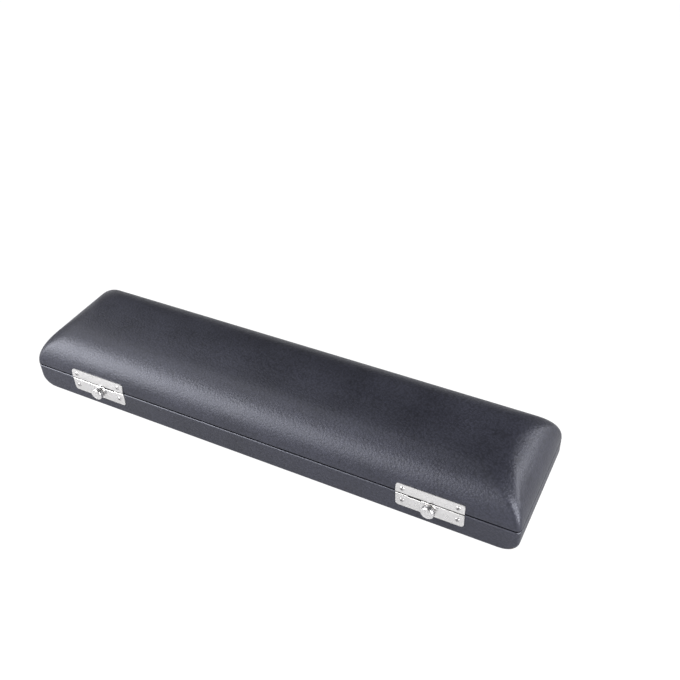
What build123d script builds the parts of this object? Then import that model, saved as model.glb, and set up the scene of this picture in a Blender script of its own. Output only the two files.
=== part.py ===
"""Hard case for a three-piece flute: leathercloth over a wooden shell, two slide latches, a hinged lid.

Frame: millimetres, origin at the centre of the flat underside, +X along the length, front towards -Y,
+Z up. The base tray is the fixed body. The lid turns on two hinges at the back, and each latch has a
knob that slides along X.
"""
import math
import os

from build123d import *

os.makedirs("parts", exist_ok=True)

# ---------------------------------------------------------------- driving dimensions
END_SPACE = 16.2        # from the lining to the bay of the body joint, at each end
WIDTH = 96.4            # over the leathercloth, along Y
HEIGHT = 50.8           # underside to the crown of the lid
BASE_TOP = 20.6         # rim of the base
LID_FOOT = 21.0         # rim of the lid, closed
CROWN_R = 300.0         # very slight crown across the lid's top
CORNER_R = 3.6          # plan radius of the base's corners, and of the ridges on the lid
TOE_R = 1.8             # rounding along the bottom edge of the base, on the long sides
END_TOE_R = 10.0        # and on the two ends
RIM_ROUND = 0.7         # broken edge of the turned leathercloth on the base
LID_RIM_ROUND = 0.7     # and on the lid
UNDER_LIFT = 0.4        # the leathercloth hangs this far above the table
GLUE = 0.1              # glue line between nested curved skins

CLOTH_T = 0.9           # leathercloth
CLOTH_TURN = 14.0       # how far the cloth is turned in underneath
BASE_WALL = 5.5         # cloth and wood together
LID_WALL = 4.6
LINER_T = 1.2           # lining board of the base, which stands proud as the lip
LIP = 3.5               # height of the lip above the base's rim
LID_LINER_T = 0.8
FLOOR_TOP = 5.0         # top of the wooden floor
FLOOR_PAD_T = 2.0

TUBE_Z = 18.0           # axis of the flute's tubes
NOTCH_R = 10.4          # notches for the 19.7 tube
ROD_R = 4.3             # groove for the 8 mm cleaning rod
BODY_LEN = 352.0        # body joint
HEAD_LEN = 222.0        # head joint
FOOT_LEN = 102.0        # foot joint
PLAY = 1.0              # end play of each joint in its bay
NOTCH_DEPTH = 18.0      # how far the body joint's ends lie in their blocks
HEAD_END = 10.0         # from the lining to the head joint's end
HEAD_REST = 20.0        # how far the head joint's end lies in its block
PARTITION_REST = 12.0   # how far head and foot reach into the block between them
PARTITION_WEB = 6.0     # between the ends of head and foot
FOOT_REST = 14.0        # how far the foot joint's outer end lies in its block
FOOT_STOP = 10.0        # thickness of that block beyond the foot's end
BLOCK_TOP = 20.4
BLOCK_ROUND = 1.6
BLOCK_FIT = 0.3         # between a block and the lining or the divider beside it
DIVIDER_W = 12.0
GROOVE_END = 21.2       # the rod's groove stops this far from the lining
TUBE_Y = 23.8           # body joint at -Y, head and foot at +Y

LATCH_IN = 61.6         # centre of each latch, from the end of the case
PLATE_W = 49.0
PLATE_T = 0.6
LOWER_Z0 = 9.2          # lower plate, on the base
PLATE_BACK = 0.2        # both plates stop this far from their rims
LOWER_Z1 = BASE_TOP - PLATE_BACK
UPPER_Z0 = LID_FOOT + PLATE_BACK        # upper plate, on the lid
UPPER_Z1 = 29.0
SCREW_DX = 19.8         # latch screws either side of the latch's centre
LOWER_SCREW_Z = 14.7
UPPER_SCREW_Z = 25.6
KNOB_R = 4.8
KNOB_Z = 14.6
KNOB_PROUD = 4.2        # knob's face above the plate
KNOB_GAP = 0.3          # between the knob and the plate
SHANK_R = 1.2
TRAVEL = 2.7            # latch slide, towards the middle of the case
SLIDE_FIT = 0.08        # clearance of the shank in its slot
CATCH_DX = 10.6         # catch is this far inwards of the latch's centre
CATCH_W = 9.6           # width of the opening for the catch
CATCH_TOP = 26.6        # top of the catch's foot, behind the upper plate
POCKET_D = 2.6          # depth of the latch's pocket from the front face
POCKET_FIT = 0.2        # round the guide tray in its pocket
GUIDE_IN = 16.4         # guide tray, from the latch's centre towards the middle of the case
GUIDE_OUT = 9.6         # and outwards
GUIDE_DROP = 5.4        # below the knob's centre
GUIDE_RISE = 4.2        # and above it
GUIDE_T = 0.8
GUIDE_BACK = 0.6
SLIDER_T = 1.0
SLIDER_DROP = 4.0       # slider's plate below the knob's centre
SLIDER_RISE = 1.8       # and above it
NOSE_RISE = 3.3         # top of the slider's nose
NOSE_H = 1.8
NOSE_IN = 6.4           # tip of the nose, from the latch's centre
LATCH_GAP = 0.3         # between the nose and the catch, locked
SPRING_T = 0.3

HINGE_IN = 75.0         # centre of each hinge, from the end of the case
HINGE_W = 40.0
KNUCKLES = 3
KNUCKLE_R = 2.0
KNUCKLE_GAP = 0.3
PIN_R = 0.9
PIN_FIT = 0.05
LEAF_T = 0.8
LEAF_DROP = 13.0        # how far the leaves reach from the hinge's axis
NIB_R = 3.0             # stop on the lid's knuckle
HINGE_SCREW_DX = 14.0   # hinge screws either side of the hinge's centre
HINGE_SCREW_DZ = 8.6    # and above or below its axis

SCREW_HEAD_R = 1.7
SCREW_SHANK_R = 0.8
SCREW_LEN = 4.6
HEAD_RISE = 0.5
SCREW_FIT = 0.05

# ---------------------------------------------------------------- derived
BODY_ROW = BODY_LEN + 2 * PLAY + 2 * END_SPACE
HEAD_FOOT_ROW = (HEAD_END + HEAD_LEN + 2 * PLAY + PARTITION_WEB + FOOT_LEN + 2 * PLAY + FOOT_STOP
                 + BLOCK_FIT)
INNER_L = max(BODY_ROW, HEAD_FOOT_ROW) / 2      # half length inside the lining
HALF_L = INNER_L + BASE_WALL + GLUE + LINER_T
LENGTH = 2 * HALF_L                             # over the leathercloth, along X: 400
HALF_W = WIDTH / 2
FACE = -HALF_W                                  # plane of the front wall
RISE = HEIGHT - LID_FOOT
END_R = RISE + 0.15                             # round of the two ends
END_TURN = math.radians(89)                     # and how far it turns
SIDE_R = (HALF_W ** 2 + (CROWN_R - RISE) ** 2 - CROWN_R ** 2) / (2 * (HALF_W - CROWN_R))
ARC_Y = HALF_W - SIDE_R                         # centre of the long sides' round
INNER_W = HALF_W - BASE_WALL - GLUE - LINER_T
PAD_TOP = FLOOR_TOP + FLOOR_PAD_T
HINGE_Y = HALF_W + KNUCKLE_GAP + KNUCKLE_R      # hinge axis
HINGE_Z = (BASE_TOP + LID_FOOT) / 2
KNUCKLE_L = (HINGE_W - (KNUCKLES - 1) * KNUCKLE_GAP) / KNUCKLES
HINGE_X = HALF_L - HINGE_IN
LATCH_X = HALF_L - LATCH_IN
CATCH_X = LATCH_X - CATCH_DX
POCKET_Y = FACE + POCKET_D                      # back of the latch pocket in the wood
GUIDE_X0, GUIDE_X1 = LATCH_X - GUIDE_IN, LATCH_X + GUIDE_OUT
GUIDE_Z0, GUIDE_Z1 = KNOB_Z - GUIDE_DROP, KNOB_Z + GUIDE_RISE
BODY_END = BODY_LEN / 2 + PLAY
HEAD_X0 = HEAD_END - INNER_L
HEAD_X1 = HEAD_X0 + HEAD_LEN + 2 * PLAY
FOOT_X0 = HEAD_X1 + PARTITION_WEB
FOOT_X1 = FOOT_X0 + FOOT_LEN + 2 * PLAY
PARTITION_X = (HEAD_X1 + FOOT_X0) / 2


# ---------------------------------------------------------------- shared forms
def lid_form(inset, low, ridge=0.0, bevel=0.0):
    """Pillow form of the lid, offset inwards by inset, its walls run straight down to z = low.

    Two profiles cross. The one drawn across the case has rounded long sides and a slight crown; the
    one drawn along it has rounded ends. Their common solid has a ridge at each corner, which is
    blended with the radius ridge, or planed off by bevel where the cloth hides it.
    """
    foot = LID_FOOT - 8
    side, crown, end = SIDE_R - inset, CROWN_R - inset, END_R - inset
    half_w, half_l = HALF_W - inset, HALF_L - inset
    meet = math.atan2(ARC_Y, CROWN_R - RISE)
    meet_y = crown * math.sin(meet)
    meet_z = HEIGHT - CROWN_R + crown * math.cos(meet)
    mid = (math.pi / 2 - meet) / 2
    mid_y, mid_z = ARC_Y + side * math.cos(mid), LID_FOOT + side * math.sin(mid)
    end_x = HALF_L - END_R
    stop_x, stop_z = end_x + end * math.cos(END_TURN), LID_FOOT + end * math.sin(END_TURN)
    half_x, half_z = end_x + end * math.cos(END_TURN / 2), LID_FOOT + end * math.sin(END_TURN / 2)
    with BuildPart() as form:
        with BuildSketch(Plane.YZ.offset(-half_l)):
            with BuildLine():
                Polyline((-half_w, LID_FOOT), (-half_w, foot), (half_w, foot), (half_w, LID_FOOT))
                ThreePointArc((half_w, LID_FOOT), (mid_y, mid_z), (meet_y, meet_z))
                ThreePointArc((meet_y, meet_z), (0, HEIGHT - inset), (-meet_y, meet_z))
                ThreePointArc((-meet_y, meet_z), (-mid_y, mid_z), (-half_w, LID_FOOT))
            make_face()
        extrude(amount=2 * half_l)
        with BuildSketch(Plane.XZ):
            with BuildLine():
                Polyline((-half_l, LID_FOOT), (-half_l, foot), (half_l, foot), (half_l, LID_FOOT))
                ThreePointArc((half_l, LID_FOOT), (half_x, half_z), (stop_x, stop_z))
                Polyline((stop_x, stop_z), (stop_x, HEIGHT + 5), (-stop_x, HEIGHT + 5), (-stop_x, stop_z))
                ThreePointArc((-stop_x, stop_z), (-half_x, half_z), (-half_l, LID_FOOT))
            make_face()
        extrude(amount=HALF_W + 2, both=True, mode=Mode.INTERSECT)
        ridges = [e for e in form.edges() if corner_edge(e, half_l, half_w)]
        if ridge > 0:
            fillet(ridges, ridge)
        if bevel > 0:
            chamfer(ridges, bevel)
        split(bisect_by=Plane.XY.offset(low), keep=Keep.TOP)
    return form.part


def corner_edge(edge, half_l, half_w):
    """True for the edges that leave a corner of the rim and run up a ridge or down the wall."""
    a, b = edge @ 0, edge @ 1
    if abs(a.Z - b.Z) < 0.2:
        return False
    return any(abs(abs(p.X) - half_l) < 0.01 and abs(abs(p.Y) - half_w) < 0.01 for p in (a, b))


def base_form(inset, low, high, toes=False):
    """Tray form of the base, offset inwards: a rounded rectangle from low to high.

    With toes, two profiles cross it and round its bottom edges: one drawn along the case, with the
    wide toes of the ends, and one drawn across it, with the narrow toes of the long sides.
    """
    half_l, half_w = HALF_L - inset, HALF_W - inset
    with BuildPart() as form:
        with BuildSketch(Plane.XY.offset(low)):
            RectangleRounded(2 * half_l, 2 * half_w, max(CORNER_R - inset, 0.8))
        extrude(amount=high - low)
        if toes:
            add(toe_profile(Plane.XZ, half_l, low, high, END_TOE_R - inset), mode=Mode.INTERSECT)
            add(toe_profile(Plane.YZ, half_w, low, high, TOE_R - inset), mode=Mode.INTERSECT)
    return form.part


def toe_profile(plane, half, low, high, toe):
    """Long bar with rounded bottom edges, drawn on plane, wider than the case is long."""
    fall = toe * (1 - math.sqrt(0.5))
    with BuildPart() as bar:
        with BuildSketch(plane):
            with BuildLine():
                Polyline((-half, low + toe), (-half, high + 1), (half, high + 1), (half, low + toe))
                ThreePointArc((half, low + toe), (half - fall, low + fall), (half - toe, low))
                Line((half - toe, low), (toe - half, low))
                ThreePointArc((toe - half, low), (fall - half, low + fall), (-half, low + toe))
            make_face()
        extrude(amount=HALF_L + 1, both=True)
    return bar.part


def block(x0, x1, y0, y1, z0, z1):
    """Plain rectangular block between two corners."""
    with BuildPart(Plane(((x0 + x1) / 2, (y0 + y1) / 2, (z0 + z1) / 2))) as form:
        Box(abs(x1 - x0), abs(y1 - y0), abs(z1 - z0))
    return form.part


def latch_pocket(s, back):
    """Room for one latch in the base: a pocket for its tray, and the slot that lets the catch in."""
    x0, x1 = s * (GUIDE_X0 - POCKET_FIT), s * (GUIDE_X1 + POCKET_FIT)
    with BuildPart() as room:
        add(block(min(x0, x1), max(x0, x1), FACE - 1, back, GUIDE_Z0 - POCKET_FIT, GUIDE_Z1 + POCKET_FIT))
        add(block(s * CATCH_X - CATCH_W / 2, s * CATCH_X + CATCH_W / 2, FACE - 1, back,
                  KNOB_Z, BASE_TOP + 1))
    return room.part


def catch_pocket(s):
    """Room for one catch's foot in the lid."""
    return block(s * CATCH_X - CATCH_W / 2, s * CATCH_X + CATCH_W / 2, FACE - 1, POCKET_Y,
                 LID_FOOT - 1, CATCH_TOP + 0.8)


def wood_screw(length):
    """Small wood screw, head up. It repeats often, so its round parts have few sides."""
    with BuildPart() as screw:
        with BuildSketch():
            RegularPolygon(SCREW_HEAD_R, 12)
        extrude(amount=HEAD_RISE, taper=35)
        with BuildSketch():
            RegularPolygon(SCREW_SHANK_R, 8)
        extrude(amount=-length)
    return screw.part


def plate_hole():
    """Clearance hole for a screw through a metal plate."""
    with BuildPart() as hole:
        with BuildSketch(Plane.XY.offset(1)):
            RegularPolygon(SCREW_SHANK_R + SCREW_FIT, 8)
        extrude(amount=-3)
    return hole.part


def awl_hole(depth):
    """Square hole, as an awl makes it, for a screw's shank in the cloth and wood."""
    with BuildPart(Plane.XY.offset(-depth / 2 + 0.5)) as hole:
        Box(2 * (SCREW_SHANK_R + SCREW_FIT), 2 * (SCREW_SHANK_R + SCREW_FIT), depth + 1)
    return hole.part


def front_screw(x, z):
    """Place of a screw on the base's lower latch plate, head towards -Y."""
    return Plane((x, FACE - PLATE_T, z), x_dir=(1, 0, 0), z_dir=(0, -1, 0))


def lid_screw(x, z, proud, back):
    """Place of a screw on the lid's rounded side, square to the surface that stands proud of it."""
    turn = math.asin((z - LID_FOOT) / (SIDE_R + proud))
    y = ARC_Y + (SIDE_R + proud) * math.cos(turn)
    way = 1 if back else -1
    return Plane((x, way * y, z), x_dir=(1, 0, 0), z_dir=(0, way * math.cos(turn), math.sin(turn)))


def back_screw(x, z):
    """Place of a screw on the hinge's base leaf, head towards +Y."""
    return Plane((x, HALF_W + LEAF_T, z), x_dir=(1, 0, 0), z_dir=(0, 1, 0))


HINGE_SCREW_Z = HINGE_Z - HINGE_SCREW_DZ
LID_HINGE_SCREW_Z = HINGE_Z + HINGE_SCREW_DZ

latch_screw_places = {s: [front_screw(s * LATCH_X + d, LOWER_SCREW_Z) for d in (-SCREW_DX, SCREW_DX)]
                      for s in (-1, 1)}
catch_screw_places = {s: [lid_screw(s * LATCH_X + d, UPPER_SCREW_Z, GLUE + PLATE_T, False)
                          for d in (-SCREW_DX, SCREW_DX)] for s in (-1, 1)}
base_leaf_places = {s: [back_screw(s * HINGE_X + d, HINGE_SCREW_Z)
                        for d in (-HINGE_SCREW_DX, HINGE_SCREW_DX)] for s in (-1, 1)}
lid_leaf_places = {s: [lid_screw(s * HINGE_X + d, LID_HINGE_SCREW_Z, GLUE + LEAF_T, True)
                       for d in (-HINGE_SCREW_DX, HINGE_SCREW_DX)] for s in (-1, 1)}
base_screw_places = [p for s in (-1, 1) for p in latch_screw_places[s] + base_leaf_places[s]]
lid_screw_places = [p for s in (-1, 1) for p in catch_screw_places[s] + lid_leaf_places[s]]
deep_hole = awl_hole(SCREW_LEN + 0.4)
thin_hole = plate_hole()
screw = wood_screw(SCREW_LEN)


def save(holder, name):
    """Label one finished piece and write it."""
    holder.part.label = name
    export_step(holder.part, f"parts/{name}.step")


def save_left(holder, name):
    """Write the right-hand piece's mirror image as the left-hand one."""
    with BuildPart() as left:
        add(mirror(holder.part, about=Plane.YZ, mode=Mode.PRIVATE))
    save(left, name)


# ---------------------------------------------------------------- base tray
# wooden tray: thin walls round a hollow, a floor, pockets for the latches
SKIN = CLOTH_T + GLUE
tray_outer = base_form(SKIN, UNDER_LIFT + CLOTH_T, BASE_TOP - SKIN, toes=True)
tray_hollow = base_form(BASE_WALL, FLOOR_TOP, BASE_TOP + 5)
with BuildPart() as base_shell:
    add(tray_outer)
    add(tray_hollow, mode=Mode.SUBTRACT)
    for s in (-1, 1):
        # pocket behind the lower plate, and the narrower slot that lets the catch in from above
        add(latch_pocket(s, POCKET_Y), mode=Mode.SUBTRACT)
    with Locations(*base_screw_places):
        add(deep_hole, mode=Mode.SUBTRACT)
save(base_shell, "base_shell")

# leathercloth of the base: outside walls, turned over the rim and under the floor
cloth_outer = base_form(0, UNDER_LIFT, BASE_TOP, toes=True)
cloth_inner = base_form(CLOTH_T, UNDER_LIFT + CLOTH_T, BASE_TOP - CLOTH_T, toes=True)
with BuildPart() as base_cover:
    add(cloth_outer)
    chamfer(base_cover.faces().sort_by(Axis.Z)[-1].edges(), RIM_ROUND)
    add(cloth_inner, mode=Mode.SUBTRACT)
    add(tray_hollow, mode=Mode.SUBTRACT)
    # underneath, the cloth stops where the panel covers its edge
    with BuildSketch(Plane.XY):
        RectangleRounded(LENGTH - 2 * CLOTH_TURN, WIDTH - 2 * CLOTH_TURN, 4)
    extrude(amount=3, mode=Mode.SUBTRACT)
    for s in (-1, 1):
        add(latch_pocket(s, POCKET_Y), mode=Mode.SUBTRACT)
    with Locations(*base_screw_places):
        add(deep_hole, mode=Mode.SUBTRACT)
save(base_cover, "base_cover")

# underside panel that the case rests on
with BuildPart() as base_underside:
    with BuildSketch(Plane.XY):
        RectangleRounded(LENGTH - 2 * CLOTH_TURN - 1, WIDTH - 2 * CLOTH_TURN - 1, 3.5)
    extrude(amount=UNDER_LIFT + CLOTH_T)
    chamfer(base_underside.faces().sort_by(Axis.Z)[0].edges(), 0.3)
save(base_underside, "base_underside")

# lining board round the inside; it stands above the rim as a lip that locates the lid
with BuildPart() as base_liner:
    add(base_form(BASE_WALL + GLUE, FLOOR_TOP, BASE_TOP + LIP))
    chamfer(base_liner.faces().sort_by(Axis.Z)[-1].edges(), 0.4)
    with BuildSketch(Plane.XY.offset(FLOOR_TOP)):
        Rectangle(2 * INNER_L, 2 * INNER_W)
    extrude(amount=30, mode=Mode.SUBTRACT)
save(base_liner, "base_liner")

# plush on the floor
with BuildPart() as base_floor_pad:
    with BuildSketch(Plane.XY.offset(FLOOR_TOP)):
        Rectangle(2 * INNER_L - 0.4, 2 * INNER_W - 0.4)
    extrude(amount=FLOOR_PAD_T)
save(base_floor_pad, "base_floor_pad")

# divider along the middle, with a groove for the cleaning rod
with BuildPart() as centre_divider:
    add(block(BLOCK_FIT - INNER_L, INNER_L - BLOCK_FIT, -DIVIDER_W / 2, DIVIDER_W / 2,
              PAD_TOP, BLOCK_TOP))
    top = centre_divider.faces().sort_by(Axis.Z)[-1]
    fillet(top.edges().filter_by(Axis.X), BLOCK_ROUND)
    groove_x = INNER_L - GROOVE_END
    with BuildSketch(Plane.XY.offset(BLOCK_TOP - ROD_R)):
        Rectangle(2 * groove_x, 2 * ROD_R)
    extrude(amount=2 * ROD_R, mode=Mode.SUBTRACT)
    with BuildSketch(Plane.YZ.offset(-groove_x)):
        with Locations((0, BLOCK_TOP - ROD_R)):
            Circle(ROD_R)
    extrude(amount=2 * groove_x, mode=Mode.SUBTRACT)
save(centre_divider, "centre_divider")


def notch(x0, x1, y):
    """U notch for a tube, open at the top, from x0 to x1."""
    with BuildPart() as room:
        with BuildSketch(Plane.YZ.offset(x0)):
            with Locations((y, TUBE_Z)):
                Circle(NOTCH_R)
            with Locations((y, TUBE_Z + NOTCH_R)):
                Rectangle(2 * NOTCH_R, 2 * NOTCH_R)
        extrude(amount=x1 - x0)
    return room.part


def rest_block(x0, x1, y, *notches):
    """Plush-covered block with its notches, between the divider and the lining."""
    near = DIVIDER_W / 2 + BLOCK_FIT
    far = INNER_W - BLOCK_FIT
    y0, y1 = (near, far) if y > 0 else (-far, -near)
    with BuildPart() as rest:
        add(block(x0, x1, y0, y1, PAD_TOP, BLOCK_TOP))
        fillet(rest.faces().sort_by(Axis.Z)[-1].edges(), BLOCK_ROUND)
        for start, end in notches:
            add(notch(start, end, y), mode=Mode.SUBTRACT)
    return rest


body_block_left = rest_block(BLOCK_FIT - INNER_L, NOTCH_DEPTH - BODY_END, -TUBE_Y,
                             (-BODY_END, NOTCH_DEPTH + 1 - BODY_END))
save(body_block_left, "body_block_left")
body_block_right = rest_block(BODY_END - NOTCH_DEPTH, INNER_L - BLOCK_FIT, -TUBE_Y,
                              (BODY_END - NOTCH_DEPTH - 1, BODY_END))
save(body_block_right, "body_block_right")
head_block_left = rest_block(BLOCK_FIT - INNER_L, HEAD_X0 + HEAD_REST, TUBE_Y,
                             (HEAD_X0, HEAD_X0 + HEAD_REST + 1))
save(head_block_left, "head_block_left")
# one block between head and foot: a notch in each face, with a web between them
head_foot_block = rest_block(HEAD_X1 - PARTITION_REST, FOOT_X0 + PARTITION_REST, TUBE_Y,
                             (HEAD_X1 - PARTITION_REST - 1, HEAD_X1),
                             (FOOT_X0, FOOT_X0 + PARTITION_REST + 1))
save(head_foot_block, "head_foot_block")
# the space beyond the foot's outer end is a small well
foot_block_right = rest_block(FOOT_X1 - FOOT_REST, FOOT_X1 + FOOT_STOP, TUBE_Y,
                              (FOOT_X1 - FOOT_REST - 1, FOOT_X1))
save(foot_block_right, "foot_block_right")

# ---------------------------------------------------------------- latches, base side
# lower plate: slot for the knob's shank, gap in the top edge for the catch, rounded lower corners
with BuildPart() as latch_base_plate_right:
    with BuildSketch(Plane((LATCH_X, FACE, 0), x_dir=(1, 0, 0), z_dir=(0, -1, 0))) as lower_outline:
        with Locations((0, (LOWER_Z0 + LOWER_Z1) / 2)):
            Rectangle(PLATE_W, LOWER_Z1 - LOWER_Z0)
        fillet(lower_outline.vertices().group_by(Axis.Y)[0], 2.4)
        fillet(lower_outline.vertices().group_by(Axis.Y)[-1], 0.6)
        with Locations((-CATCH_DX, LOWER_Z1)):
            Rectangle(CATCH_W, 1.6, mode=Mode.SUBTRACT)
        with Locations((-TRAVEL / 2, KNOB_Z)):
            SlotOverall(TRAVEL + 2 * (SHANK_R + SLIDE_FIT), 2 * (SHANK_R + SLIDE_FIT), mode=Mode.SUBTRACT)
    extrude(amount=PLATE_T)
    rim = latch_base_plate_right.faces().sort_by(Axis.Y)[0].outer_wire().edges()
    chamfer(rim, 0.15)
    with Locations(*latch_screw_places[1]):
        add(thin_hole, mode=Mode.SUBTRACT)
save(latch_base_plate_right, "latch_base_plate_right")
save_left(latch_base_plate_right, "latch_base_plate_left")

# guide tray in the wood: back, ledges above and below the slider, open at the top for the catch
SLIDER_Z0, SLIDER_Z1 = KNOB_Z - SLIDER_DROP, KNOB_Z + SLIDER_RISE
GUIDE_Y1 = POCKET_Y - 0.1
GUIDE_MID = GUIDE_Y1 - GUIDE_BACK
with BuildPart() as latch_guide_right:
    add(block(GUIDE_X0, GUIDE_X1, FACE, GUIDE_Y1, GUIDE_Z0, GUIDE_Z1))
    add(block(GUIDE_X0 + GUIDE_T, GUIDE_X1 - GUIDE_T, FACE - 1, GUIDE_MID,
              SLIDER_Z0 - LATCH_GAP, GUIDE_Z1 - 0.6), mode=Mode.SUBTRACT)
    add(block(GUIDE_X0 + GUIDE_T, CATCH_X + CATCH_W / 2, FACE - 1, GUIDE_MID,
              SLIDER_Z0 - LATCH_GAP, GUIDE_Z1 + 1), mode=Mode.SUBTRACT)
save(latch_guide_right, "latch_guide_right")
save_left(latch_guide_right, "latch_guide_left")

# detent spring: a bent strip above the slider
SPRING_HALF = 3.6
SPRING_X = GUIDE_X1 - GUIDE_T - SPRING_HALF - 0.8
SPRING_FOOT = GUIDE_Z1 - 0.6 - 0.1 - SPRING_T
SPRING_BOW = SLIDER_Z1 + 0.1
with BuildPart() as latch_spring_right:
    with BuildSketch(Plane((SPRING_X, FACE + LATCH_GAP + 0.1, 0), x_dir=(1, 0, 0), z_dir=(0, -1, 0))):
        with BuildLine():
            ThreePointArc((-SPRING_HALF, SPRING_FOOT), (0, SPRING_BOW), (SPRING_HALF, SPRING_FOOT))
            Line((SPRING_HALF, SPRING_FOOT), (SPRING_HALF, SPRING_FOOT + SPRING_T))
            ThreePointArc((SPRING_HALF, SPRING_FOOT + SPRING_T), (0, SPRING_BOW + SPRING_T),
                          (-SPRING_HALF, SPRING_FOOT + SPRING_T))
            Line((-SPRING_HALF, SPRING_FOOT + SPRING_T), (-SPRING_HALF, SPRING_FOOT))
        make_face()
    extrude(amount=-0.8)
save(latch_spring_right, "latch_spring_right")
save_left(latch_spring_right, "latch_spring_left")

# slider: carries the knob; its nose runs in over the toe of the catch
SLIDER_Y = FACE + LATCH_GAP
NOSE_TIP = LATCH_X - NOSE_IN
TOE_END = NOSE_TIP - 0.5
STRIP_END = NOSE_TIP - TRAVEL - LATCH_GAP
with BuildPart() as latch_slider_right:
    add(block(TOE_END + TRAVEL + 0.4, LATCH_X + 6.2, SLIDER_Y, SLIDER_Y + SLIDER_T, SLIDER_Z0, SLIDER_Z1))
    add(block(NOSE_TIP, LATCH_X, SLIDER_Y, SLIDER_Y + SLIDER_T, KNOB_Z + NOSE_RISE - NOSE_H,
              KNOB_Z + NOSE_RISE))
    with BuildSketch(Plane((LATCH_X, SLIDER_Y - 1, KNOB_Z), x_dir=(1, 0, 0), z_dir=(0, 1, 0))):
        Circle(SHANK_R + 0.02)
    extrude(amount=SLIDER_T + 2, mode=Mode.SUBTRACT)
save(latch_slider_right, "latch_slider_right")
save_left(latch_slider_right, "latch_slider_left")

# knob: turned, with a slightly hollow conical face, riveted through the slider
KNOB_H = KNOB_PROUD - KNOB_GAP
SHANK_END = -PLATE_T - KNOB_GAP - LATCH_GAP - SLIDER_T
with BuildPart() as turned:
    with BuildSketch(Plane.XZ):
        with BuildLine():
            Polyline((0, KNOB_H - 0.25), (0, SHANK_END), (SHANK_R, SHANK_END), (SHANK_R, 0),
                     (KNOB_R, 0), (KNOB_R, KNOB_H - 0.5),
                     (KNOB_R - 0.5, KNOB_H), (0, KNOB_H - 0.25))
        make_face()
    revolve(axis=Axis.Z)
knob_seat = Plane((LATCH_X, FACE - PLATE_T - KNOB_GAP, KNOB_Z), x_dir=(1, 0, 0), z_dir=(0, -1, 0))
with BuildPart() as latch_knob_right:
    with Locations(knob_seat):
        add(turned.part)
save(latch_knob_right, "latch_knob_right")
save_left(latch_knob_right, "latch_knob_left")

with BuildPart() as latch_base_screws:
    with Locations(*latch_screw_places[-1], *latch_screw_places[1]):
        add(screw)
save(latch_base_screws, "latch_base_screws")

# ---------------------------------------------------------------- lid
# wooden lid: pillow outside, the same form offset inside, a pocket for each catch
lid_wood_in = lid_form(LID_WALL, LID_FOOT - 5)
with BuildPart() as lid_shell:
    add(lid_form(SKIN, LID_FOOT + SKIN, bevel=CORNER_R / 2))
    add(lid_wood_in, mode=Mode.SUBTRACT)
    for s in (-1, 1):
        add(catch_pocket(s), mode=Mode.SUBTRACT)
    with Locations(*lid_screw_places):
        add(deep_hole, mode=Mode.SUBTRACT)
save(lid_shell, "lid_shell")

# leathercloth of the lid, turned under the rim
with BuildPart() as lid_cover:
    add(lid_form(0, LID_FOOT, CORNER_R))
    chamfer(lid_cover.faces().sort_by(Axis.Z)[0].edges(), LID_RIM_ROUND)
    add(lid_form(CLOTH_T, LID_FOOT + CLOTH_T, bevel=CORNER_R / 2), mode=Mode.SUBTRACT)
    add(lid_wood_in, mode=Mode.SUBTRACT)
    for s in (-1, 1):
        add(catch_pocket(s), mode=Mode.SUBTRACT)
    with Locations(*lid_screw_places):
        add(deep_hole, mode=Mode.SUBTRACT)
save(lid_cover, "lid_cover")

# lining of the lid, starting above the lip
LINER_FOOT = BASE_TOP + LIP + 1.2
lid_liner_in = lid_form(LID_WALL + GLUE + LID_LINER_T, LID_FOOT - 5)
with BuildPart() as lid_liner:
    add(lid_form(LID_WALL + GLUE, LID_FOOT - 5))
    add(lid_liner_in, mode=Mode.SUBTRACT)
    add(block(-HALF_L, HALF_L, -HALF_W, HALF_W, 0, LINER_FOOT), mode=Mode.SUBTRACT)
save(lid_liner, "lid_liner")

# bolsters in the lid that hold the tubes down over the rest blocks
BOLSTER_FOOT = TUBE_Z + NOTCH_R + 0.3
BOLSTER_Y = INNER_W - 3.0
bolster_form = lid_form(LID_WALL + 2 * GLUE + LID_LINER_T, LID_FOOT - 5)


def bolster(x0, x1, y0, y1):
    """Rounded plush bolster under the top of the lid, its back following the lining."""
    with BuildPart() as pad:
        add(block(x0, x1, y0, y1, BOLSTER_FOOT, HEIGHT))
        chamfer(pad.faces().sort_by(Axis.Z)[0].edges(), 2.0)
        add(bolster_form, mode=Mode.INTERSECT)
    return pad


lid_pad_left = bolster(-BODY_END - 2, -BODY_END + NOTCH_DEPTH, -BOLSTER_Y, BOLSTER_Y)
save(lid_pad_left, "lid_pad_left")
# the middle one presses on the head and foot only, clear of the keys on the body joint
lid_pad_middle = bolster(PARTITION_X - PARTITION_REST, PARTITION_X + PARTITION_REST,
                         DIVIDER_W / 2, BOLSTER_Y)
save(lid_pad_middle, "lid_pad_middle")
lid_pad_right = bolster(BODY_END - NOTCH_DEPTH, BODY_END + 2, -BOLSTER_Y, BOLSTER_Y)
save(lid_pad_right, "lid_pad_right")

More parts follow.
